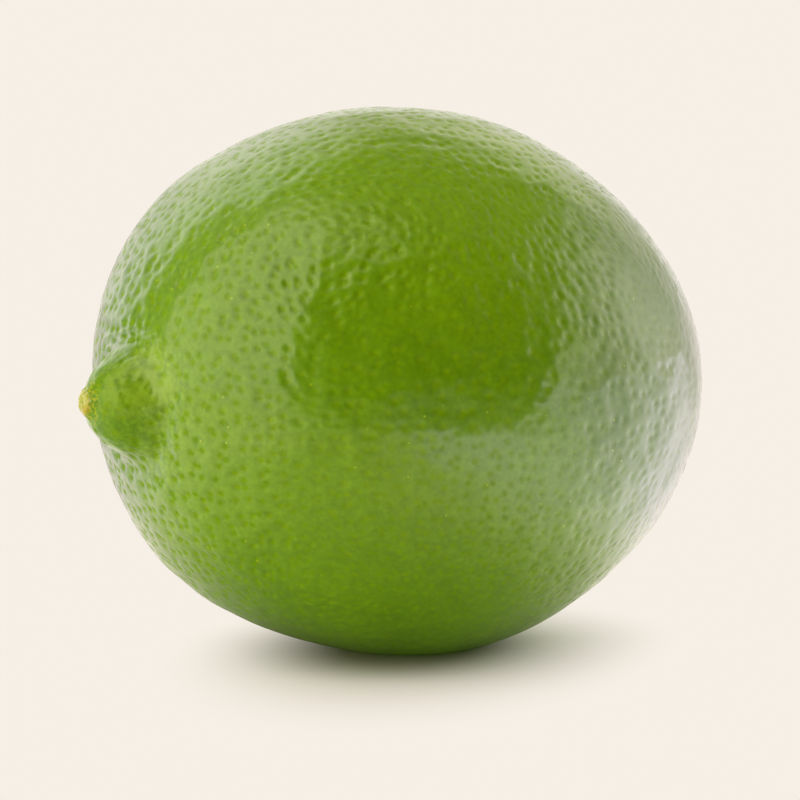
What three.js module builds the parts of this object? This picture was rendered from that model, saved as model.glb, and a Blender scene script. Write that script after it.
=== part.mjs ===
// A whole lime lying on its side: one closed skin, +Z up, in millimetres.
// The nipple at the blossom end points to -X and the scar of the stem faces +X.
// The origin is on the table, under the middle of the fruit's bounding box.
import * as THREE from "three";
import { mergeVertices } from "three/addons/utils/BufferGeometryUtils.js";

// Body: an ellipsoid whose long axis dips towards the stem end.
const HALF_LENGTH = 29.6; // from the middle to either end, without the nipple
const HALF_WIDTH = 26;
const HALF_HEIGHT = 25.9;
const AXIS_DIP = 6.5; // degrees below level at the stem end
const MIDDLE_HEIGHT = 25.3; // middle of the body above the table: the skin under it is pressed flat

// Swells and hollows that make the body uneven: a direction in degrees and a height.
const SWELL_SPREAD = 20; // degrees from the middle of a swell to where it has mostly faded
const SWELLS = [
  { azimuth: -30, elevation: 0, height: 0.3 },
  { azimuth: -30, elevation: -45, height: -0.2 },
  { azimuth: -20, elevation: 45, height: -0.25 },
  { azimuth: -60, elevation: -75, height: 0.4 },
  { azimuth: 165, elevation: -40, height: 0.6 },
  { azimuth: 145, elevation: 35, height: 0.7 },
  { azimuth: 65, elevation: 10, height: 0.35 },
  { azimuth: 30, elevation: -25, height: -0.25 },
  { azimuth: 105, elevation: -30, height: 0.25 },
];

// Nipple: a steep dome with a shallow furrow round its foot.
const NIPPLE_TOWARDS = { azimuth: 183.5, elevation: 0.4 };
const NIPPLE_RADIUS = 4.3;
const NIPPLE_HEIGHT = 3.4;
const NIPPLE_STEEPNESS = 3.4; // 2 is a soft bell and 4 is nearly a button
const FURROW_RADIUS = 6;
const FURROW_WIDTH = 1.3;
const FURROW_DEPTH = 0.2;

// Scar left by the flower's style: a small knob, a little to one side of the nipple's top.
const STYLE_SCAR_TOWARDS = { azimuth: 182, elevation: 0.8 };
const STYLE_SCAR_RADIUS = 1.2;
const STYLE_SCAR_HEIGHT = 0.7;

// Stem end: a shallow basin with a low button in it, where the fruit came off its stem.
const STEM_TOWARDS = { azimuth: 0, elevation: -AXIS_DIP };
const BASIN_RADIUS = 4.2;
const BASIN_DEPTH = 0.9;
const STEM_SCAR_RADIUS = 1.9;
const STEM_SCAR_HEIGHT = 0.35;
const BUTTON_STEEPNESS = 4;

// Facets: closer together at the two ends, where the small features are.
const FACET_DETAIL = 20;
const CROWDING = 0.7; // 0 spreads the facets evenly and 1 would heap them all at the ends
const END_RADIUS = 29.4; // turns an angle from an end's middle into a distance on the skin

const PEEL = { color: 0x5f8f12, roughness: 0.38, metalness: 0 };

function towards({ azimuth, elevation }) {
  const polar = THREE.MathUtils.degToRad(90 - elevation);
  const turn = THREE.MathUtils.degToRad(azimuth);
  const level = Math.sin(polar);
  return new THREE.Vector3(level * Math.cos(turn), level * Math.sin(turn), Math.cos(polar));
}

// 1 in the middle, falling to 1/e at the given reach; a higher power has steeper sides.
function fade(distance, reach, power) {
  return Math.exp(-Math.pow(distance / reach, power));
}

const swellSpread = THREE.MathUtils.degToRad(SWELL_SPREAD);
const swells = SWELLS.map((swell) => ({ middle: towards(swell), height: swell.height }));
const nippleMiddle = towards(NIPPLE_TOWARDS);
const styleScarMiddle = towards(STYLE_SCAR_TOWARDS);
const stemMiddle = towards(STEM_TOWARDS);
const axisDip = THREE.MathUtils.degToRad(AXIS_DIP);
const verticalAxisOfDip = new THREE.Vector3(0, 1, 0);

function ellipsoidRadius(direction) {
  const level = direction.clone().applyAxisAngle(verticalAxisOfDip, -axisDip);
  return 1 / Math.hypot(level.x / HALF_LENGTH, level.y / HALF_WIDTH, level.z / HALF_HEIGHT);
}

function swellHeight(direction) {
  const heights = swells.map(
    ({ middle, height }) => height * fade(direction.angleTo(middle), swellSpread, 2),
  );
  return heights.reduce((sum, height) => sum + height, 0);
}

function nippleHeight(direction) {
  const fromNipple = END_RADIUS * direction.angleTo(nippleMiddle);
  const fromScar = END_RADIUS * direction.angleTo(styleScarMiddle);
  const dome = NIPPLE_HEIGHT * fade(fromNipple, NIPPLE_RADIUS, NIPPLE_STEEPNESS);
  const furrow = FURROW_DEPTH * fade(Math.abs(fromNipple - FURROW_RADIUS), FURROW_WIDTH, 2);
  const knob = STYLE_SCAR_HEIGHT * fade(fromScar, STYLE_SCAR_RADIUS, BUTTON_STEEPNESS);
  return dome - furrow + knob;
}

function stemEndHeight(direction) {
  const fromStem = END_RADIUS * direction.angleTo(stemMiddle);
  const basin = BASIN_DEPTH * fade(fromStem, BASIN_RADIUS, 2);
  const button = STEM_SCAR_HEIGHT * fade(fromStem, STEM_SCAR_RADIUS, BUTTON_STEEPNESS);
  return button - basin;
}

function skinRadius(direction) {
  const body = ellipsoidRadius(direction) + swellHeight(direction);
  return body + nippleHeight(direction) + stemEndHeight(direction);
}

// Moves a direction towards the nearer end of the X axis.
function crowdTowardsEnds(direction) {
  const fromEnd = Math.acos(THREE.MathUtils.clamp(direction.x, -1, 1));
  const crowded = fromEnd - (CROWDING * Math.sin(2 * fromEnd)) / 2;
  const ring = new THREE.Vector3(0, direction.y, direction.z).setLength(Math.sin(crowded));
  return ring.setX(Math.cos(crowded)).normalize();
}

function sphereDirections() {
  const sphere = new THREE.IcosahedronGeometry(1, FACET_DETAIL);
  sphere.deleteAttribute("normal");
  sphere.deleteAttribute("uv");
  return mergeVertices(sphere);
}

function limeGeometry() {
  const geometry = sphereDirections();
  const position = geometry.getAttribute("position");
  const point = new THREE.Vector3();
  for (let i = 0; i < position.count; i++) {
    const direction = crowdTowardsEnds(point.fromBufferAttribute(position, i).normalize());
    point.copy(direction).multiplyScalar(skinRadius(direction));
    position.setXYZ(i, point.x, point.y, Math.max(point.z + MIDDLE_HEIGHT, 0));
  }
  return geometry;
}

// Puts the middle of the bounding box over the origin.
function centred(geometry) {
  geometry.computeBoundingBox();
  const middle = geometry.boundingBox.getCenter(new THREE.Vector3());
  geometry.translate(-middle.x, -middle.y, 0);
  geometry.computeVertexNormals();
  return geometry;
}

const lime = new THREE.Mesh(centred(limeGeometry()), new THREE.MeshStandardMaterial(PEEL));
lime.name = "lime";

const fruit = new THREE.Group();
fruit.add(lime);

export default fruit;
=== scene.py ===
import math

import bmesh
import bpy
from mathutils import Matrix, Vector


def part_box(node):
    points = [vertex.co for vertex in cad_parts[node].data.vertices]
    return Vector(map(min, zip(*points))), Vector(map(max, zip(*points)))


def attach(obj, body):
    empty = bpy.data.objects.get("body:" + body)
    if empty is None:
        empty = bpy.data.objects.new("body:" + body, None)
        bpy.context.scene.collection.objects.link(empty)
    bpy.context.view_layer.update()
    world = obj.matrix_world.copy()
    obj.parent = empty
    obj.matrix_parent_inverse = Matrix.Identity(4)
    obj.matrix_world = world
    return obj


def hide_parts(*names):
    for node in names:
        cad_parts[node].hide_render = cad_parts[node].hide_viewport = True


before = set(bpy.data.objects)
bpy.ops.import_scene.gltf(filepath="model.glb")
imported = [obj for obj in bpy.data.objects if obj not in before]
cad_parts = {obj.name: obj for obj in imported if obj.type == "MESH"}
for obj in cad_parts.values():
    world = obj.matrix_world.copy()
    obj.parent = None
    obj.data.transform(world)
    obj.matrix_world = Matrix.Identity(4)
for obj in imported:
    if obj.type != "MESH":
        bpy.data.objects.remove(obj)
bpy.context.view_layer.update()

MM = 0.001

# ---------------------------------------------------------------- the fruit's sizes
# Body: an ellipsoid whose long axis dips towards the stem end, pressed flat underneath.
HALF_LENGTH = 29.6 * MM
HALF_WIDTH = 26 * MM
HALF_HEIGHT = 25.9 * MM
AXIS_DIP = math.radians(6.5)
MIDDLE_HEIGHT = 25.3 * MM
FLAT_ROUNDING = 0.12 * MM  # how softly the skin turns into the flat spot

# Swells and hollows: azimuth and elevation in degrees, and height.
SWELL_SPREAD = math.radians(20)
SWELLS = (
    (-30, 0, 0.3 * MM),
    (-30, -45, -0.2 * MM),
    (-20, 45, -0.25 * MM),
    (-60, -75, 0.4 * MM),
    (165, -40, 0.6 * MM),
    (145, 35, 0.7 * MM),
    (65, 10, 0.35 * MM),
    (30, -25, -0.25 * MM),
    (105, -30, 0.25 * MM),
)

# The two ends, as directions from the middle of the body.
NIPPLE_TOWARDS = (183.5, 0.4)
STYLE_SCAR_TOWARDS = (182, 0.8)
STEM_TOWARDS = (0, -6.5)
END_RADIUS = 29.4 * MM  # turns an angle from an end's middle into a distance on the skin

NIPPLE_RADIUS = 4.3 * MM
NIPPLE_HEIGHT = 3.4 * MM
NIPPLE_STEEPNESS = 3.4
FURROW_RADIUS = 6 * MM
FURROW_WIDTH = 1.3 * MM
FURROW_DEPTH = 0.2 * MM
STYLE_SCAR_RADIUS = 1.2 * MM
STYLE_SCAR_HEIGHT = 0.7 * MM

BASIN_RADIUS = 4.2 * MM
BASIN_DEPTH = 0.9 * MM
STEM_SCAR_RADIUS = 1.9 * MM
STEM_SCAR_HEIGHT = 0.35 * MM
BUTTON_STEEPNESS = 4

# Skin mesh: a cube's faces cut into a grid and swelled into a ball, finer round the two ends.
GRID_CUTS = 111
NIPPLE_FINE_RADIUS = 8 * MM
STEM_FINE_RADIUS = 4.5 * MM
FINE_CUTS = 2

# ---------------------------------------------------------------- places on the skin
# A patch: azimuth and elevation of its middle, then the cosines of the angles from there at
# which it begins and is full.
LEFT_SIDE = (150, 8, 0.72, 0.93)
LOW_LEFT = (188, -25, 0.75, 0.95)
LOW_RIGHT = (-55, -22, 0.75, 0.95)
FRONT_LEFT = (228, 18, 0.85, 0.97)
FRONT_RIGHT = (275, 18, 0.85, 0.97)
FRONT_MIDDLE = (243, -1, 0.93, 0.99)
FRONT_TOP = (252, 38, 0.93, 0.99)
CALM_FRONT = (250, 5, 0.85, 0.98)
CALM_RIGHT = (-50, 0, 0.6, 0.95)

# Heights on the fruit: the sines of the elevations between which what is below fades out.
WAIST = (-0.3, 0.4)
UNDERSIDE = (-0.95, -0.6)
GLANCE_UNDERSIDE = (-0.9, -0.3)

# A spot: the distances from an end's middle within which it is full and beyond which it is gone.
# A ring: from, to and the softness of both edges.
PLAIN_NIPPLE_SPOT = (3.5 * MM, 6 * MM)
PLAIN_STEM_SPOT = (2.5 * MM, 5 * MM)
GRITTY_SPOT = (4 * MM, 7 * MM)
FOLDED_SPOT = (9 * MM, 12 * MM)
WRINKLED_RING = (5 * MM, 12 * MM, 2 * MM)
KNOB_SPOT = (1 * MM, 1.5 * MM)
STEM_BUTTON_SPOT = (1.8 * MM, 2.2 * MM)
STEM_RIM_RING = (1.2 * MM, 1.6 * MM, 0.25 * MM)
STEM_FURROW_RING = (1.9 * MM, 4.5 * MM, 0.6 * MM)
FLECKED_SPOT = (5 * MM, 11 * MM)
BLOTCHED_RING = (1.5 * MM, 6 * MM, 1 * MM)
FRECKLED_SPOT = (1.2 * MM, 2.6 * MM)
STYLE_SCAR_SPOT = (0.9 * MM, 1.2 * MM)
DULL_NIPPLE_SPOT = (3.5 * MM, 5.5 * MM)
CORK_SPOT = (1.7 * MM, 2.1 * MM)
CORK_EDGE_RING = (1.7 * MM, 2 * MM, 0.2 * MM)

# ---------------------------------------------------------------- the skin's fine relief
# How rugged the waves and pits are: low on the fruit, high on it, and what some patches add.
RUGGED_BELOW = 0.36
RUGGED_ABOVE = 0.8
RUGGED_PATCHES = (
    (LEFT_SIDE, 0.25),
    (LOW_LEFT, 0.5),
    (LOW_RIGHT, 0.6),
    (FRONT_LEFT, 0.35),
    (FRONT_RIGHT, 0.4),
    (FRONT_MIDDLE, 0.5),
    (FRONT_TOP, 0.45),
)

# Layers of roughness: the size of their lumps, finer octaves, and height from trough to crest.
LUMPS = (9 * MM, 1, 0.3 * MM)
WAVES = (3.2 * MM, 0, 0.187 * MM)
RIPPLES = (0.8 * MM, 0, 0.0165 * MM)
NIPPLE_GRIT = (0.9 * MM, 2, 0.17 * MM)
KNOB_GRAIN = (0.42 * MM, 1, 0.4 * MM)
STEM_GRAIN = (0.7 * MM, 2, 0.25 * MM)
SKIN_GRAIN = (0.35 * MM, 2, 0.008 * MM)

# Oil glands. A pit's radii are in pitches, and its shares are of PIT_DEPTH.
BODY_RADIUS = 27.5 * MM
GLAND_PITCH = 1.35 * MM
GLAND_SCATTER = 0.85  # 0 sets the glands in straight rows, 1 at random
SIDE_SHARPNESS = 30  # how quickly one side's glands give way to the next side's
OPPOSITE_SHIFT = 5  # how far the glands slide from one side to the opposite one and
NEXT_SHIFT = 20  # to the next one, so that no two sides have the same ones
PIT_MIDDLE = -0.1  # below 0, so that a pit has no flat bottom
PIT_RADIUS = 0.58
PIT_RADIUS_AT_LEFT = 0.88
PIT_DEPTH = 0.1 * MM
PIT_LEAST_SHARE = 0.4
PIT_CHANCE_SHARE = 1.2
PIT_SHARE_AT_LEFT = 0.3  # added to the others there

# How strong the glands' marks are in the calm patches in front and at right.
PITS_IN_CALM = (0.5, 0.7)
DOTS_IN_CALM = (1, 0.4)
DULLNESS_IN_CALM = (0.8, 0.2)
LOST_UNDERNEATH = 0.7

# Wrinkles and furrows round the two ends.
WRINKLE_FINENESS = 4  # round the nipple, in lumps for each radian
WRINKLE_PITCH = 0.9 * MM
WRINKLE_HEIGHT = 0.12 * MM
STEM_FURROW_FINENESS = 3
STEM_FURROW_PITCH = 4 * MM
STEM_FURROW_DEPTH = 0.3 * MM
STEM_RIM_HEIGHT = 0.12 * MM
FOLD_LENGTH = 9 * MM
FOLDS = (  # the way each faces round the nipple, its distance, its half-width and its height
    (107, 5.7 * MM, 0.4 * MM, 0.12 * MM),
    (107, 6.7 * MM, 0.4 * MM, 0.06 * MM),
)
DIMPLES = (  # azimuth, elevation, radius and depth of single shallow hollows
    (242.3, -5.6, 2 * MM, 0.05 * MM),
    (247.7, -4.2, 1.8 * MM, 0.04 * MM),
    (237.2, 0.5, 2.2 * MM, 0.04 * MM),
)

# ---------------------------------------------------------------- finish of the peel
DARK_GREEN = (0.093, 0.22, 0.001, 1)
PALE_GREEN = (0.224, 0.428, 0.003, 1)
GLAND_OLIVE = (0.23, 0.37, 0.001, 1)
SPECK_YELLOW = (0.38, 0.5, 0.01, 1)
SCAR_CREAM = (0.56, 0.58, 0.2, 1)
SCAR_YELLOW = (0.38, 0.38, 0.008, 1)
SCAR_ORANGE = (0.45, 0.35, 0.003, 1)
FRECKLE_YELLOW = (0.36, 0.42, 0.003, 1)
# Painted light: a paler green on the nipple's upper flank, standing in for a reflection it doesn't catch.
NIPPLE_FLANK_PAINTED_LIGHT = (0.28, 0.46, 0.03, 1)
NIPPLE_GREEN = (0.1, 0.22, 0.001, 1)
# Painted shade: the darker green of the upper skin where it is seen aslant.
LIMB_PAINTED_SHADE_GREEN = (0.04, 0.08, 0.001, 1)
STEM_TAN = (0.36, 0.3, 0.13, 1)
STEM_BROWN = (0.15, 0.11, 0.04, 1)

# Paleness: over PALE_RANGE the dark green turns into the pale one. Its clouds and flecks are
# layers of noise, as the relief's are.
PALE_BASE = 0.35
PALE_RANGE = (-0.2, 1.1)
# Painted light and shade: the green paler high up in front, darker at left and towards the stem end.
PAINTED_LIGHT_AND_SHADE_PATCHES = (
    ((150, 5, 0.7, 0.95), -0.3),
    ((-35, 10, 0.6, 0.97), -0.35),
    ((270, 55, 0.65, 0.95), 0.3),
)
BROAD_CLOUDS = (14 * MM, 2, 0.5)
SMALL_CLOUDS = (1.2 * MM, 2, 0.5)
FLECKS = (0.5 * MM, 2, 1)
FLECK_SHARE = 0.6
FLECK_SHARE_AT_NIPPLE = 1.4

DOT_RADII = (0.05, 0.42)  # in pitches, full and gone
DOT_LEAST_SHARE = 0.1
DOT_CHANCE_SHARE = 0.4
SPECK_PITCH = 1.5 * MM
SPECK_RADII = (0.044, 0.088)  # in pitches, full and gone
SPECKS_KEPT = (0.15, 0.85)  # of a random number, so that some are faint and some missing

# Noises that break up a colour: size of the lumps, finer octaves, then the values of the noise
# between which the colour comes in, and the most of it that there is.
BLOTCHES = (1.4 * MM, 3, 0.42, 0.62, 0.25)
CORK_MOTTLE = (0.6 * MM, 2, 0.35, 0.65, 1)
# This one breaks up the painted light on the nipple's flank.
FLANK_PAINTED_LIGHT_CLOUDS = (1.1 * MM, 3, 0.3, 0.6, 0.75)

# The style scar and round it: two noises, and the values between which each colour comes in.
SCAR_GRAIN = (0.33 * MM, 1)
FRECKLES_IN_GRAIN = (0.5, 0.62)
YELLOW_IN_GRAIN = (0.45, 0.6)
YELLOW_SHARE = 0.6
SCAR_POCKS = (0.42 * MM, 1)
CREVICES_IN_POCKS = (0.36, 0.5)
CREVICE_SHARE = 0.75
SCAR_RAGGEDNESS = 0.8 * MM
ORANGE_SPOT = (184, -1.4, math.cos(1.6 * MM / END_RADIUS), math.cos(0.6 * MM / END_RADIUS))
ORANGE_SHARE = 0.8
CORK_EDGE_SHARE = 0.7
# Where the painted light on the nipple's flank lies.
FLANK_PAINTED_LIGHT_SPOT = (191.5, 6, math.cos(math.radians(8)), math.cos(math.radians(2.5)))

# Gloss. A glance is how far aslant the skin is seen, from 0 face on to 1 edge on.
BUMP_SHARE = 0.7
DULL_SHARE = 0.65
DULL_SHARE_AT_LEFT = 0.2  # added there
DULL_NIPPLE_SHARE = 0.6
NIPPLE_GLANCE = (0.5, 0.95)  # where the dull nipple begins to shine, and shines in full
# Painted shade seen aslant: where the upper skin begins to darken and is dark in full, how much, and how
# much less on the nipple.
LIMB_SHADE_GLANCE = (0.35, 1)
LIMB_SHADE_SHARE = 0.8
LIMB_SHADE_LOST_ON_NIPPLE = 0.8

# ---------------------------------------------------------------- studio
CREAM = (0.922, 0.863, 0.785, 1)
BLACK = (0, 0, 0, 1)
CAMERA_AZIMUTH = -28  # degrees, round from the front of the frame
CAMERA_ELEVATION = 9
CAMERA_DISTANCE = 620 * MM
FRAME_WIDTH = 75.92 * MM  # what the picture's width spans at the fruit
SENSOR = 36
AIM_RIGHT = 0.3 * MM
AIM_DOWN = 1.9 * MM
CLIP = (0.05, 20)

# The room's glow. Directions are in degrees: round from the camera's side, + to its right, and
# up. The wall is the dark one behind the camera: from, to and softness each way.
ROOM_COLOUR = (0.2, 0.19, 0.14)
WALL_SIDES = (-24, 66, 4)
WALL_HEIGHTS = (-20, 61, 6)
LIGHTS = (  # from and to, round and up, then softness and colour; a later one covers an earlier
    (-235, -114, -30, 60, 8, (1.0, 0.95, 0.7)),
    (118, 235, -30, 30, 12, (1.2, 1.15, 1.0)),
    (-158, -122, -30, 60, 6, (2.0, 1.9, 1.85)),
    (150, 230, 5, 45, 18, (0.85, 0.83, 0.55)),
    (-230, -155, 5, 45, 18, (0.85, 0.83, 0.55)),
    (160, 230, -10, 18, 8, (1.28, 1.24, 1.08)),
    (-230, -155, -10, 18, 8, (1.3, 1.26, 1.1)),
    (118, 150, -30, 4, 10, (1.6, 1.45, 1.4)),
    (140, 175, 16, 46, 10, (1.6, 1.56, 1.1)),
    (-172, -146, 18, 42, 8, (1.95, 1.87, 1.63)),
    (153, 164, -30, 0, 4, (2.2, 2.1, 2.1)),
    (-110, 25, 60, 85, 14, (1.4, 1.3, 0.9)),
    (-94, -30, -30, 75, 4, (2.6, 2.35, 1.85)),
    (80, 95, -30, 32, 5, (0.9, 0.8, 0.65)),
    (66, 95, -30, 14, 5, (1.9, 1.65, 1.5)),
    (91, 125, -30, 35, 15, (3.1, 2.75, 2.6)),
)

# The floor. Across is to the camera's right and deep is away from it, from under the fruit.
FLOOR_RADIUS = 3
FLOOR_SIDES = 96
FLOOR_COLOUR = (0.87, 0.83, 0.92, 1)
# Painted shadow: the floor's darker colour round where the fruit touches it.
FLOOR_PAINTED_CONTACT_SHADOW = (0.42, 0.39, 0.34, 1)
FLOOR_SHADE = (0.02, 0.02, 0, 1)  # what the fruit's gloss sees of the lit floor in front
# where the painted contact shadow is full, and where it has gone
PAINTED_CONTACT_SHADOW_EDGE = (6 * MM, 20 * MM)
SHADE_EDGE = (-18 * MM, -4 * MM)
SHADE_SHARE_BEHIND = 0.3
SHADOW_MIDDLE = 3.3 * MM  # across
SHADOW_SLANT = 0.15  # how much further across it is for each length deeper
SHADOW_LEFT = 23.6 * MM
SHADOW_RIGHT = 26 * MM
SHADOW_FRONT = 43 * MM
SHADOW_BEHIND = 25 * MM
SHADOW_EDGE = (0.22, 1)  # where it begins to fade and is gone, in shares of those sizes

# The glow that the fruit's gloss sees on the floor, and the light that the floor throws back.
SHINE_LEFT = (2.5, 2.25, 1.4, 1)
SHINE_BACK_LEFT = (1.35, 1.25, 1.35, 1)
SHINE_BACK_LEFT_EDGE = (-30 * MM, 10 * MM)
SHINES_ACROSS = (  # from left to right: where each takes over from the last one
    ((1.1, 1.1, 0.4, 1), -70 * MM, -10 * MM),
    ((2.2, 1.95, 1.4, 1), -6 * MM, 45 * MM),
    ((2.75, 2.35, 2.9, 1), 14 * MM, 52 * MM),
)
SHINE_BEHIND = (0.6, 0.55, 0.55, 1)
SHINE_BEHIND_RIGHT = (0.8, 0.73, 0.75, 1)
BEHIND_EDGE = (-60 * MM, 20 * MM)
BEHIND_RIGHT_EDGE = (-20 * MM, 50 * MM)
SHINE_EDGE = (13 * MM, 48 * MM)
SHINE_REACH_ASIDE = 0.17  # how much nearer the fruit the glow begins at its sides
AHEAD_SLANTS = (-0.5, 1.5)  # of the two edges of the dim sector in front
AHEAD_LEFT_EDGE = (-30 * MM, 50 * MM)
AHEAD_RIGHT_EDGE = (-10 * MM, 60 * MM)
AHEAD_EDGE = (90 * MM, 170 * MM)
AHEAD_LOSS = 0.9
RIGHT_EDGE = (0, 70 * MM)
FAR_EDGE = (80 * MM, 250 * MM)
FAR_RIGHT_LOSS = 0.08
BOUNCE = (0.2, 0.22, 0.15, 1)


# ---------------------------------------------------------------- shape of the fruit
def towards(azimuth, elevation):
    """Unit vector from the middle of the body, angles in degrees."""
    turn, rise = math.radians(azimuth), math.radians(elevation)
    level = math.cos(rise)
    return Vector((level * math.cos(turn), level * math.sin(turn), math.sin(rise)))


def fade(distance, reach, power):
    """1 in the middle, falling to 1/e at the given reach; a higher power has steeper sides."""
    return math.exp(-((distance / reach) ** power))


NIPPLE_MIDDLE = towards(*NIPPLE_TOWARDS)
STYLE_SCAR_MIDDLE = towards(*STYLE_SCAR_TOWARDS)
STEM_MIDDLE = towards(*STEM_TOWARDS)
SWELL_MIDDLES = [(towards(azimuth, elevation), height) for azimuth, elevation, height in SWELLS]
UNDIP = Matrix.Rotation(-AXIS_DIP, 3, "Y")


def ellipsoid_radius(direction):
    level = UNDIP @ direction
    return 1 / math.hypot(level.x / HALF_LENGTH, level.y / HALF_WIDTH, level.z / HALF_HEIGHT)


def swell_height(direction):
    return sum(h * fade(direction.angle(m), SWELL_SPREAD, 2) for m, h in SWELL_MIDDLES)


def nipple_height(direction):
    from_nipple = END_RADIUS * direction.angle(NIPPLE_MIDDLE)
    from_scar = END_RADIUS * direction.angle(STYLE_SCAR_MIDDLE)
    dome = NIPPLE_HEIGHT * fade(from_nipple, NIPPLE_RADIUS, NIPPLE_STEEPNESS)
    furrow = FURROW_DEPTH * fade(abs(from_nipple - FURROW_RADIUS), FURROW_WIDTH, 2)
    knob = STYLE_SCAR_HEIGHT * fade(from_scar, STYLE_SCAR_RADIUS, BUTTON_STEEPNESS)
    return dome - furrow + knob


def stem_end_height(direction):
    from_stem = END_RADIUS * direction.angle(STEM_MIDDLE)
    basin = BASIN_DEPTH * fade(from_stem, BASIN_RADIUS, 2)
    button = STEM_SCAR_HEIGHT * fade(from_stem, STEM_SCAR_RADIUS, BUTTON_STEEPNESS)
    return button - basin


def skin_point(direction):
    """Where the skin is in a direction from the middle of the body, with the table at z = 0."""
    radius = ellipsoid_radius(direction) + swell_height(direction)
    radius += nipple_height(direction) + stem_end_height(direction)
    point = direction * radius
    height = point.z + MIDDLE_HEIGHT
    lift = math.hypot(height, FLAT_ROUNDING)
    point.z = (height + lift) / 2
    return point


# ---------------------------------------------------------------- the skin's mesh
def cut_finer(bm, middle, reach):
    """Cuts the faces near one end of the fruit into smaller ones."""
    near = math.cos(reach / END_RADIUS)
    faces = [f for f in bm.faces if f.calc_center_median().normalized().dot(middle) > near]
    edges = {edge for face in faces for edge in face.edges}
    bmesh.ops.subdivide_edges(bm, edges=list(edges), cuts=FINE_CUTS, use_grid_fill=True)


def even_direction(corner):
    """A point of the cube as a direction, with the grid's squares evened out."""
    return Vector([math.tan(c * math.pi / 4) for c in corner]).normalized()


def shift_into_box(bm):
    """Centres the mesh in the part's box, as seen from above, and gives how far it went."""
    low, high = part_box("lime")
    xs = [vert.co.x for vert in bm.verts]
    ys = [vert.co.y for vert in bm.verts]
    along = (low.x + high.x) / 2 - (min(xs) + max(xs)) / 2
    across = (low.y + high.y) / 2 - (min(ys) + max(ys)) / 2
    shift = Vector((along, across, 0))
    bmesh.ops.translate(bm, verts=bm.verts[:], vec=shift)
    return shift


def skin_mesh():
    bm = bmesh.new()
    bmesh.ops.create_cube(bm, size=2)
    bmesh.ops.subdivide_edges(bm, edges=bm.edges[:], cuts=GRID_CUTS, use_grid_fill=True)
    for vert in bm.verts:
        vert.co = even_direction(vert.co)
    cut_finer(bm, NIPPLE_MIDDLE, NIPPLE_FINE_RADIUS)
    cut_finer(bm, STEM_MIDDLE, STEM_FINE_RADIUS)
    for vert in bm.verts:
        vert.co = skin_point(vert.co.normalized())
    bmesh.ops.recalc_face_normals(bm, faces=bm.faces[:])
    for face in bm.faces:
        face.smooth = True
    shift = shift_into_box(bm)
    mesh = bpy.data.meshes.new("lime_skin")
    bm.to_mesh(mesh)
    bm.free()
    return mesh, shift


# ---------------------------------------------------------------- node maths
class Value:
    """A node socket. Python's operators on it add the Math nodes that they stand for."""

    def __init__(self, graph, socket):
        self.graph = graph
        self.socket = socket

    def beside(self, name):
        """Another output of the same node."""
        return Value(self.graph, self.socket.node.outputs[name])

    def maths(self, operation, *others, swap=False):
        terms = [self, *others]
        if swap:
            terms.reverse()
        return self.graph.add("ShaderNodeMath", {"operation": operation}, dict(enumerate(terms)))

    def __add__(self, other):
        return self.maths("ADD", other)

    def __radd__(self, other):
        return self.maths("ADD", other)

    def __sub__(self, other):
        return self.maths("SUBTRACT", other)

    def __rsub__(self, other):
        return self.maths("SUBTRACT", other, swap=True)

    def __mul__(self, other):
        return self.maths("MULTIPLY", other)

    def __rmul__(self, other):
        return self.maths("MULTIPLY", other)

    def __truediv__(self, other):
        return self.maths("DIVIDE", other)

    def __rtruediv__(self, other):
        return self.maths("DIVIDE", other, swap=True)

    def __pow__(self, other):
        return self.maths("POWER", other)

    def __neg__(self):
        return self.maths("MULTIPLY", -1)


class Graph:
    """A node tree, for a material, the surroundings or a mesh."""

    def __init__(self, tree):
        self.tree = tree
        tree.nodes.clear()

    def add(self, kind, settings=None, values=None, out=0):
        """A node of a kind: its settings first, then the values or links of its sockets."""
        node = self.tree.nodes.new(kind)
        for name, setting in (settings or {}).items():
            setattr(node, name, setting)
        for name, value in (values or {}).items():
            if isinstance(value, Value):
                self.tree.links.new(value.socket, node.inputs[name])
            else:
                node.inputs[name].default_value = value
        return Value(self, node.outputs[out]) if node.outputs else node

    def vector(self, operation, *terms, out="Vector"):
        return self.add("ShaderNodeVectorMath", {"operation": operation}, dict(enumerate(terms)), out)

    def dot(self, first, second):
        return self.vector("DOT_PRODUCT", first, second, out="Value")

    def scaled(self, vector, factor):
        return self.add("ShaderNodeVectorMath", {"operation": "SCALE"}, {0: vector, "Scale": factor})

    def smooth(self, value, low, high):
        """0 below low, 1 above high and a soft curve between."""
        values = {"Value": value, "From Min": low, "From Max": high}
        return self.add("ShaderNodeMapRange", {"interpolation_type": "SMOOTHSTEP"}, values)

    def inside(self, value, full, gone):
        """1 below full, 0 above gone and a soft curve between."""
        return 1 - self.smooth(value, full, gone)

    def band(self, value, low, high, soft):
        """1 between low and high, fading to 0 over twice the softness at each edge."""
        rise = self.smooth(value, low - soft, low + soft)
        return rise * self.inside(value, high - soft, high + soft)

    def mix(self, factor, first, second):
        """One colour turning into another as the factor goes from 0 to 1."""
        values = {0: factor, 6: first, 7: second}
        return self.add("ShaderNodeMix", {"data_type": "RGBA"}, values, out=2)

    def mix_shaders(self, factor, first, second):
        return self.add("ShaderNodeMixShader", None, {0: factor, 1: first, 2: second})

    def noise(self, place, size, detail):
        """Cloudy noise about 0.5, with lumps of about the given size and finer octaves."""
        return self.add("ShaderNodeTexNoise", None, {"Vector": place, "Scale": 1 / size, "Detail": detail})

    def broken(self, place, size, detail, low, high, most):
        """A share of a colour that a noise breaks up: 0 where it is low, most where it is high."""
        return self.smooth(self.noise(place, size, detail), low, high) * most


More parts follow.
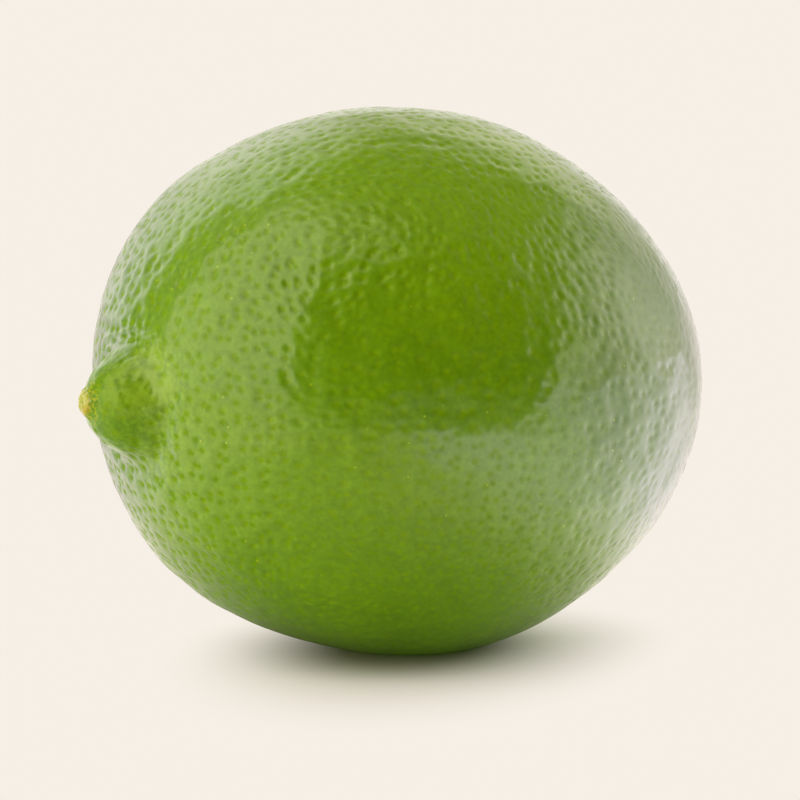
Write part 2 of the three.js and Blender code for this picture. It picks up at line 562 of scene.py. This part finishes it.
# ---------------------------------------------------------------- the skin's relief
class Skin:
    """Where a point of the peel is, and the relief there, as nodes of a graph."""

    def __init__(self, graph, place, middle):
        self.graph = graph
        self.place = place
        self.out = graph.vector("NORMALIZE", graph.vector("SUBTRACT", place, middle))
        split = graph.add("ShaderNodeSeparateXYZ", None, {0: self.out})
        self.parts = (split, split.beside("Y"), split.beside("Z"))
        self.rise = self.parts[2]
        self.from_nipple = self.along_skin(NIPPLE_MIDDLE)
        self.from_style = self.along_skin(STYLE_SCAR_MIDDLE)
        self.from_stem = self.along_skin(STEM_MIDDLE)
        self.near, self.lot = self.glands()

    def along_skin(self, middle):
        """Distance over the skin from a direction, for places near the two ends."""
        cosine = self.graph.dot(self.out, middle)
        return cosine.maths("MINIMUM", 1.0).maths("ARCCOSINE") * END_RADIUS

    def patch(self, azimuth, elevation, low, high):
        """1 towards a direction and 0 away from it; low and high are cosines of the angle."""
        return self.graph.smooth(self.graph.dot(self.out, towards(azimuth, elevation)), low, high)

    def layer(self, size, detail, height):
        """Noise about 0 of a given height from trough to crest."""
        return (self.graph.noise(self.place, size, detail) - 0.5) * height

    def glands(self):
        """Distance to the nearest oil gland, in pitches, and that gland's own random number.

        The glands sit on grids drawn on the six sides of a cube round the fruit, faded
        into each other at the cube's edges.
        """
        near, lot, whole = 0, 0, 0
        for axis in range(3):
            along = self.parts[axis]
            across = (self.parts[(axis + 1) % 3] / along).maths("ARCTANGENT")
            up = (self.parts[(axis + 2) % 3] / along).maths("ARCTANGENT")
            aside = along.maths("SIGN") * OPPOSITE_SHIFT + NEXT_SHIFT * axis
            spot = self.graph.add("ShaderNodeCombineXYZ", None, {0: across + aside, 1: up})
            values = {"Vector": spot, "Scale": BODY_RADIUS / GLAND_PITCH, "Randomness": GLAND_SCATTER}
            gland = self.graph.add("ShaderNodeTexVoronoi", {"voronoi_dimensions": "2D"}, values)
            colour = self.graph.add("ShaderNodeSeparateXYZ", None, {0: gland.beside("Color")})
            share = along.maths("ABSOLUTE") ** SIDE_SHARPNESS
            near = near + gland * share
            lot = lot + colour * share
            whole = whole + share
        return near / whole, lot / whole

    def marked(self, in_front, at_right):
        """How strong the glands' marks are: full but for the underside and two calm patches."""
        front = 1 - (1 - in_front) * self.patch(*CALM_FRONT)
        right = 1 - (1 - at_right) * self.patch(*CALM_RIGHT)
        return front * right * (1 - LOST_UNDERNEATH * self.graph.inside(self.rise, *UNDERSIDE))

    def flat(self, middle):
        """A place on the skin as seen along the axis of one end: level and up, from its middle."""
        level = Vector((0, 0, 1)).cross(middle).normalized()
        across = self.graph.dot(self.out, level)
        up = self.graph.dot(self.out, middle.cross(level))
        return self.graph.add("ShaderNodeCombineXYZ", None, {0: across, 1: up})

    def streaks(self, flat, fineness, distance, pitch):
        """Noise about 0 in polar coordinates round one end: streaks along it or round it."""
        around = self.graph.scaled(self.graph.vector("NORMALIZE", flat), fineness)
        away = self.graph.add("ShaderNodeCombineXYZ", None, {2: distance / pitch})
        return self.graph.noise(self.graph.vector("ADD", around, away), 1, 1) - 0.5

    def fold(self, flat, facing, offset, width):
        """A straight fold beside the nipple, as 1 on its crest and 0 away from it."""
        turn = math.radians(facing)
        normal = (math.cos(turn), math.sin(turn), 0)
        along = (-math.sin(turn), math.cos(turn), 0)
        line = self.graph.dot(flat, normal) * END_RADIUS - offset
        place = self.graph.dot(flat, along) * END_RADIUS
        crest = self.graph.inside(line.maths("ABSOLUTE"), 0, width)
        length = self.graph.band(place, -FOLD_LENGTH / 2, FOLD_LENGTH / 2, FOLD_LENGTH / 4)
        return crest * length * self.graph.inside(self.from_nipple, *FOLDED_SPOT)

    def ruggedness(self):
        """How much of the waves and pits there is."""
        rugged = RUGGED_BELOW + (RUGGED_ABOVE - RUGGED_BELOW) * self.graph.smooth(self.rise, *WAIST)
        for patch, extra in RUGGED_PATCHES:
            rugged = rugged + extra * self.patch(*patch)
        rugged = rugged * self.graph.smooth(self.from_nipple, *PLAIN_NIPPLE_SPOT)
        return rugged * self.graph.smooth(self.from_stem, *PLAIN_STEM_SPOT)

    def pits(self):
        """Depth of the pits over the oil glands, larger and deeper on the left side."""
        left = self.patch(*LEFT_SIDE)
        radius = PIT_RADIUS + (PIT_RADIUS_AT_LEFT - PIT_RADIUS) * left
        share = PIT_LEAST_SHARE + PIT_CHANCE_SHARE * self.lot + PIT_SHARE_AT_LEFT * left
        pit = self.graph.inside(self.near, PIT_MIDDLE, radius)
        return pit * share * PIT_DEPTH * self.marked(*PITS_IN_CALM)

    def nipple_relief(self):
        """Wrinkles, folds and grit on and beside the nipple, and the grain of its style scar."""
        graph = self.graph
        flat = self.flat(NIPPLE_MIDDLE)
        wrinkles = self.streaks(flat, WRINKLE_FINENESS, self.from_nipple, WRINKLE_PITCH)
        height = wrinkles * graph.band(self.from_nipple, *WRINKLED_RING) * WRINKLE_HEIGHT
        height = height + self.layer(*NIPPLE_GRIT) * graph.inside(self.from_nipple, *GRITTY_SPOT)
        for facing, offset, width, crest in FOLDS:
            height = height + self.fold(flat, facing, offset, width) * crest
        return height + self.layer(*KNOB_GRAIN) * graph.inside(self.from_style, *KNOB_SPOT)

    def stem_relief(self):
        """Furrows round the stem end, and the rim and rough cork of its scar."""
        graph = self.graph
        flat = self.flat(STEM_MIDDLE)
        furrows = self.streaks(flat, STEM_FURROW_FINENESS, self.from_stem, STEM_FURROW_PITCH)
        furrows = furrows * graph.band(self.from_stem, *STEM_FURROW_RING) * STEM_FURROW_DEPTH
        rim = graph.band(self.from_stem, *STEM_RIM_RING) * STEM_RIM_HEIGHT
        button = graph.inside(self.from_stem, *STEM_BUTTON_SPOT)
        return furrows + button * (self.layer(*STEM_GRAIN) + rim)

    def dimples(self):
        depth = 0
        for azimuth, elevation, radius, deepest in DIMPLES:
            edge = math.cos(radius / BODY_RADIUS)
            depth = depth + self.patch(azimuth, elevation, edge, 1) * deepest
        return depth

    def relief(self):
        """Height of the relief over the smooth skin, in metres."""
        waves = self.layer(*WAVES) + self.layer(*RIPPLES)
        height = self.layer(*LUMPS) + self.ruggedness() * (waves - self.pits())
        height = height + self.nipple_relief() + self.stem_relief()
        return height - self.dimples() + self.layer(*SKIN_GRAIN)


def relief_group(middle):
    """A node group that moves a mesh's points out along their normals by the relief."""
    tree = bpy.data.node_groups.new("skin_relief", "GeometryNodeTree")
    tree.interface.new_socket("Geometry", in_out="INPUT", socket_type="NodeSocketGeometry")
    tree.interface.new_socket("Geometry", in_out="OUTPUT", socket_type="NodeSocketGeometry")
    graph = Graph(tree)
    skin = graph.add("NodeGroupInput")
    place = graph.add("GeometryNodeInputPosition")
    normal = graph.add("GeometryNodeInputNormal")
    offset = graph.scaled(normal, Skin(graph, place, middle).relief())
    moved = graph.add("GeometryNodeSetPosition", None, {"Geometry": skin, "Offset": offset})
    graph.add("NodeGroupOutput", None, {0: moved})
    return tree


def lime_piece():
    """The fruit, with its relief in its mesh, and the middle of its body."""
    mesh, shift = skin_mesh()
    middle = shift + Vector((0, 0, MIDDLE_HEIGHT))
    piece = bpy.data.objects.new("lime_skin", mesh)
    bpy.context.scene.collection.objects.link(piece)
    modifier = piece.modifiers.new("relief", "NODES")
    modifier.node_group = relief_group(middle)
    shown = piece.evaluated_get(bpy.context.evaluated_depsgraph_get())
    piece.data = bpy.data.meshes.new_from_object(shown)
    piece.modifiers.clear()
    return piece, middle


# ---------------------------------------------------------------- finish of the peel
def peel_green(graph, skin):
    """The peel's green, paler and darker in clouds and in patches of painted light and shade, with a dot
    on each gland and a few specks.
    """
    pale = PALE_BASE + skin.layer(*BROAD_CLOUDS) + skin.layer(*SMALL_CLOUDS)
    # Painted light and shade: some sides of the fruit paler and some darker.
    for patch, extra in PAINTED_LIGHT_AND_SHADE_PATCHES:
        pale = pale + extra * skin.patch(*patch)
    by_nipple = graph.inside(skin.from_nipple, *FLECKED_SPOT)
    fleck_share = FLECK_SHARE + (FLECK_SHARE_AT_NIPPLE - FLECK_SHARE) * by_nipple
    pale = pale + skin.layer(*FLECKS) * fleck_share
    green = graph.mix(graph.smooth(pale, *PALE_RANGE), DARK_GREEN, PALE_GREEN)
    dot = graph.inside(skin.near, *DOT_RADII) * (DOT_LEAST_SHARE + DOT_CHANCE_SHARE * skin.lot)
    green = graph.mix(dot * skin.marked(*DOTS_IN_CALM), green, GLAND_OLIVE)
    values = {"Vector": skin.place, "Scale": 1 / SPECK_PITCH}
    speck = graph.add("ShaderNodeTexVoronoi", None, values)
    kept = graph.smooth(graph.dot(speck.beside("Color"), (1, 0, 0)), *SPECKS_KEPT)
    return graph.mix(graph.inside(speck, *SPECK_RADII) * kept, green, SPECK_YELLOW)


def nipple_colours(graph, skin, green):
    """Blotches on the nipple, freckles round its tip, and the cream and yellow style scar."""
    blotch = graph.broken(skin.place, *BLOTCHES) * graph.band(skin.from_nipple, *BLOTCHED_RING)
    green = graph.mix(blotch, green, NIPPLE_GREEN)
    grain = graph.noise(skin.place, *SCAR_GRAIN)
    freckle = graph.smooth(grain, *FRECKLES_IN_GRAIN) * graph.inside(skin.from_style, *FRECKLED_SPOT)
    green = graph.mix(freckle, green, FRECKLE_YELLOW)
    scar = graph.mix(skin.patch(*ORANGE_SPOT) * ORANGE_SHARE, SCAR_CREAM, SCAR_ORANGE)
    scar = graph.mix(graph.smooth(grain, *YELLOW_IN_GRAIN) * YELLOW_SHARE, scar, SCAR_YELLOW)
    crevice = graph.inside(graph.noise(skin.place, *SCAR_POCKS), *CREVICES_IN_POCKS)
    scar = graph.mix(crevice * CREVICE_SHARE, scar, FRECKLE_YELLOW)
    ragged = skin.from_style + (grain - 0.5) * SCAR_RAGGEDNESS
    return graph.mix(graph.inside(ragged, *STYLE_SCAR_SPOT), green, scar)


def stem_colours(graph, skin, green):
    """Mottled cork on the stem scar, with a brown edge."""
    cork = graph.mix(graph.broken(skin.place, *CORK_MOTTLE), STEM_TAN, STEM_BROWN)
    green = graph.mix(graph.inside(skin.from_stem, *CORK_SPOT), green, cork)
    edge = graph.band(skin.from_stem, *CORK_EDGE_RING)
    return graph.mix(edge * CORK_EDGE_SHARE, green, STEM_BROWN)


def peel(middle):
    """Wax over green peel, duller in the pits and on the nipple, with painted shade where the upper skin
    is seen aslant.
    """
    material = bpy.data.materials.new("lime_peel")
    material.use_nodes = True
    graph = Graph(material.node_tree)
    place = graph.add("ShaderNodeTexCoord", None, None, out="Object")
    skin = Skin(graph, place, middle)
    green = stem_colours(graph, skin, nipple_colours(graph, skin, peel_green(graph, skin)))
    # Painted light: a paler patch on the nipple's flank, in clouds.
    flank_painted_light = skin.patch(*FLANK_PAINTED_LIGHT_SPOT) * graph.broken(place, *FLANK_PAINTED_LIGHT_CLOUDS)
    green = graph.mix(flank_painted_light, green, NIPPLE_FLANK_PAINTED_LIGHT)
    bump = {"Strength": BUMP_SHARE, "Distance": 1.0, "Height": skin.relief()}
    wax = {
        "Base Color": green,
        "Roughness": 0.38,
        "IOR": 1.5,
        "Specular IOR Level": 0.2,
        "Specular Tint": (1, 1, 0.6, 1),
        "Coat Roughness": 0.12,
        "Coat IOR": 1.5,
        "Coat Weight": 0.75,
        "Subsurface Weight": 0.2,
        "Subsurface Radius": (1.0, 1.0, 0.3),
        "Subsurface Scale": 0.8 * MM,
        "Normal": graph.add("ShaderNodeBump", None, bump),
    }
    no_gloss = {"Specular IOR Level": 0.0, "Coat Weight": 0.0}
    waxed = graph.add("ShaderNodeBsdfPrincipled", None, wax)
    bare = graph.add("ShaderNodeBsdfPrincipled", None, {**wax, **no_gloss})
    # Painted shade: the same wax over a darker green.
    limb_painted_shade = graph.add("ShaderNodeBsdfPrincipled", None, {**wax, "Base Color": LIMB_PAINTED_SHADE_GREEN})
    aslant = graph.add("ShaderNodeLayerWeight", None, {"Blend": 0.5}, out="Facing")
    on_nipple = graph.inside(skin.from_nipple, *DULL_NIPPLE_SPOT)
    left = skin.patch(*LEFT_SIDE) + skin.patch(*LOW_LEFT)
    dull = graph.inside(skin.near, *DOT_RADII) * skin.marked(*DULLNESS_IN_CALM)
    dull = dull * (DULL_SHARE + DULL_SHARE_AT_LEFT * left)
    dull_nipple = on_nipple * DULL_NIPPLE_SHARE * graph.inside(aslant, *NIPPLE_GLANCE)
    dull = dull.maths("MAXIMUM", dull_nipple)
    # The painted shade's share: on the upper skin seen aslant, less on the nipple and in the dull pits.
    glance = graph.smooth(aslant, *LIMB_SHADE_GLANCE) * graph.smooth(skin.rise, *GLANCE_UNDERSIDE)
    glance = glance * (1 - LIMB_SHADE_LOST_ON_NIPPLE * on_nipple) * (1 - dull) * LIMB_SHADE_SHARE
    shader = graph.mix_shaders(glance, graph.mix_shaders(dull, waxed, bare), limb_painted_shade)
    graph.add("ShaderNodeOutputMaterial", None, {"Surface": shader})
    return material


# ---------------------------------------------------------------- studio
CAMERA_RIGHT = towards(CAMERA_AZIMUTH, 0)


def camera(middle):
    back = towards(CAMERA_AZIMUTH - 90, CAMERA_ELEVATION)
    up = back.cross(CAMERA_RIGHT)
    aim = middle + CAMERA_RIGHT * AIM_RIGHT - up * AIM_DOWN
    data = bpy.data.cameras.new("camera")
    data.sensor_width = SENSOR
    data.lens = SENSOR * CAMERA_DISTANCE / FRAME_WIDTH
    data.clip_start, data.clip_end = CLIP
    seat = bpy.data.objects.new("camera", data)
    seat.location = aim + back * CAMERA_DISTANCE
    seat.rotation_euler = back.to_track_quat("Z", "Y").to_euler()
    bpy.context.scene.collection.objects.link(seat)
    bpy.context.scene.camera = seat


def surroundings():
    """A pale room with wide lights at the sides and behind, and a dark wall behind the camera."""
    world = bpy.data.worlds.new("studio")
    world.use_nodes = True
    graph = Graph(world.node_tree)
    direction = graph.add("ShaderNodeTexCoord", None, None, out="Generated")
    values = {"Vector": direction, "Angle": -math.radians(CAMERA_AZIMUTH)}
    turned = graph.add("ShaderNodeVectorRotate", {"rotation_type": "Z_AXIS"}, values)
    x = graph.add("ShaderNodeSeparateXYZ", None, {0: turned})
    aside = x.maths("ARCTAN2", -x.beside("Y")).maths("DEGREES")
    rise = x.beside("Z").maths("ARCSINE").maths("DEGREES")
    glow = (*ROOM_COLOUR, 1)
    for left, right, low, high, soft, colour in LIGHTS:
        patch = graph.band(aside, left, right, soft) * graph.band(rise, low, high, soft)
        glow = graph.mix(patch, glow, (*colour, 1))
    wall = graph.band(aside, *WALL_SIDES) * graph.band(rise, *WALL_HEIGHTS)
    lit = graph.add("ShaderNodeBackground", None, {"Color": graph.mix(wall, glow, BLACK)})
    seen = graph.add("ShaderNodeBackground", None, {"Color": CREAM})
    to_camera = graph.add("ShaderNodeLightPath", None, None, out="Is Camera Ray")
    both = graph.mix_shaders(to_camera, lit, seen)
    graph.add("ShaderNodeOutputWorld", None, {"Surface": both})
    bpy.context.scene.world = world


def floor_disc():
    bm = bmesh.new()
    bmesh.ops.create_circle(bm, cap_ends=True, segments=FLOOR_SIDES, radius=FLOOR_RADIUS)
    mesh = bpy.data.meshes.new("floor")
    bm.to_mesh(mesh)
    bm.free()
    piece = bpy.data.objects.new("floor", mesh)
    bpy.context.scene.collection.objects.link(piece)
    return piece


class FloorFinish:
    """The pale floor's shading, which is not the same for the camera and for the fruit."""

    def __init__(self, graph):
        self.graph = graph
        place = graph.add("ShaderNodeTexCoord", None, None, out="Object")
        away = Vector((0, 0, 1)).cross(CAMERA_RIGHT)
        self.across = graph.dot(place, CAMERA_RIGHT)
        self.side = self.across.maths("ABSOLUTE")
        self.deep = graph.dot(place, away)
        self.reach = graph.vector("LENGTH", place, out="Value")
        self.to_camera = graph.add("ShaderNodeLightPath", None, None, out="Is Camera Ray")
        self.to_gloss = self.to_camera.beside("Is Glossy Ray")

    def tone(self):
        """The lit floor's colour, with a painted shadow under the fruit, and in its gloss nearly black in
        front.
        """
        graph = self.graph
        # Painted shadow: the floor darker round the fruit's contact, over its real shadow.
        tone = graph.mix(graph.smooth(self.reach, *PAINTED_CONTACT_SHADOW_EDGE), FLOOR_PAINTED_CONTACT_SHADOW, FLOOR_COLOUR)
        front = graph.inside(self.deep, *SHADE_EDGE)
        shade = (SHADE_SHARE_BEHIND + (1 - SHADE_SHARE_BEHIND) * front) * self.to_gloss
        return graph.mix(shade, tone, FLOOR_SHADE)

    def clear_of_shadow(self):
        """1 where the shadow has faded away, 0 in its middle."""
        aside = self.across - SHADOW_MIDDLE - self.deep * SHADOW_SLANT
        aside = aside.maths("MAXIMUM", 0) / SHADOW_RIGHT - aside.maths("MINIMUM", 0) / SHADOW_LEFT
        depth = self.deep.maths("MAXIMUM", 0) / SHADOW_BEHIND
        depth = depth - self.deep.maths("MINIMUM", 0) / SHADOW_FRONT
        spread = (aside * aside + depth * depth) ** 0.5
        return self.graph.smooth(spread, *SHADOW_EDGE)

    def shine_colour(self):
        """The floor's glow, from the left round the front to the right, and behind."""
        graph = self.graph
        back_left = graph.smooth(self.deep, *SHINE_BACK_LEFT_EDGE)
        shine = graph.mix(back_left, SHINE_LEFT, SHINE_BACK_LEFT)
        for colour, begins, full in SHINES_ACROSS:
            shine = graph.mix(graph.smooth(self.across, begins, full), shine, colour)
        right = graph.smooth(self.across, *BEHIND_RIGHT_EDGE)
        far_shine = graph.mix(right, SHINE_BEHIND, SHINE_BEHIND_RIGHT)
        return graph.mix(graph.smooth(self.deep - self.side, *BEHIND_EDGE), shine, far_shine)

    def shine_share(self):
        """How much of the glow there is: none under the fruit, and little in front, far off."""
        graph = self.graph
        left_slant, right_slant = AHEAD_SLANTS
        ahead = graph.smooth(self.across + self.deep * left_slant, *AHEAD_LEFT_EDGE)
        ahead = ahead * graph.inside(self.across + self.deep * right_slant, *AHEAD_RIGHT_EDGE)
        ahead = ahead * graph.smooth(self.reach, *AHEAD_EDGE)
        far_right = graph.smooth(self.reach, *FAR_EDGE) * graph.smooth(self.across, *RIGHT_EDGE)
        share = graph.smooth(self.reach + self.side * SHINE_REACH_ASIDE, *SHINE_EDGE)
        return share * (1 - AHEAD_LOSS * ahead) * (1 - FAR_RIGHT_LOSS * far_right)

    def shader(self):
        graph = self.graph
        lit = graph.add("ShaderNodeBsdfDiffuse", None, {"Color": self.tone()})
        seen = graph.add("ShaderNodeEmission", None, {"Color": CREAM})
        both = graph.mix_shaders(self.clear_of_shadow() * self.to_camera, lit, seen)
        shine = graph.mix(self.shine_share() * self.to_gloss, BLACK, self.shine_colour())
        shine = graph.mix(self.to_camera.beside("Is Diffuse Ray"), shine, BOUNCE)
        glow = graph.add("ShaderNodeEmission", None, {"Color": shine})
        return graph.add("ShaderNodeAddShader", None, {0: both, 1: glow})


def floor():
    piece = floor_disc()
    material = bpy.data.materials.new("pale_floor")
    material.use_nodes = True
    graph = Graph(material.node_tree)
    graph.add("ShaderNodeOutputMaterial", None, {"Surface": FloorFinish(graph).shader()})
    piece.data.materials.append(material)


lime, body_middle = lime_piece()
lime.data.materials.clear()
lime.data.materials.append(peel(body_middle))
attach(lime, "root")
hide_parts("lime")
camera(body_middle)
surroundings()
floor()
bpy.context.scene.view_settings.view_transform = "Standard"
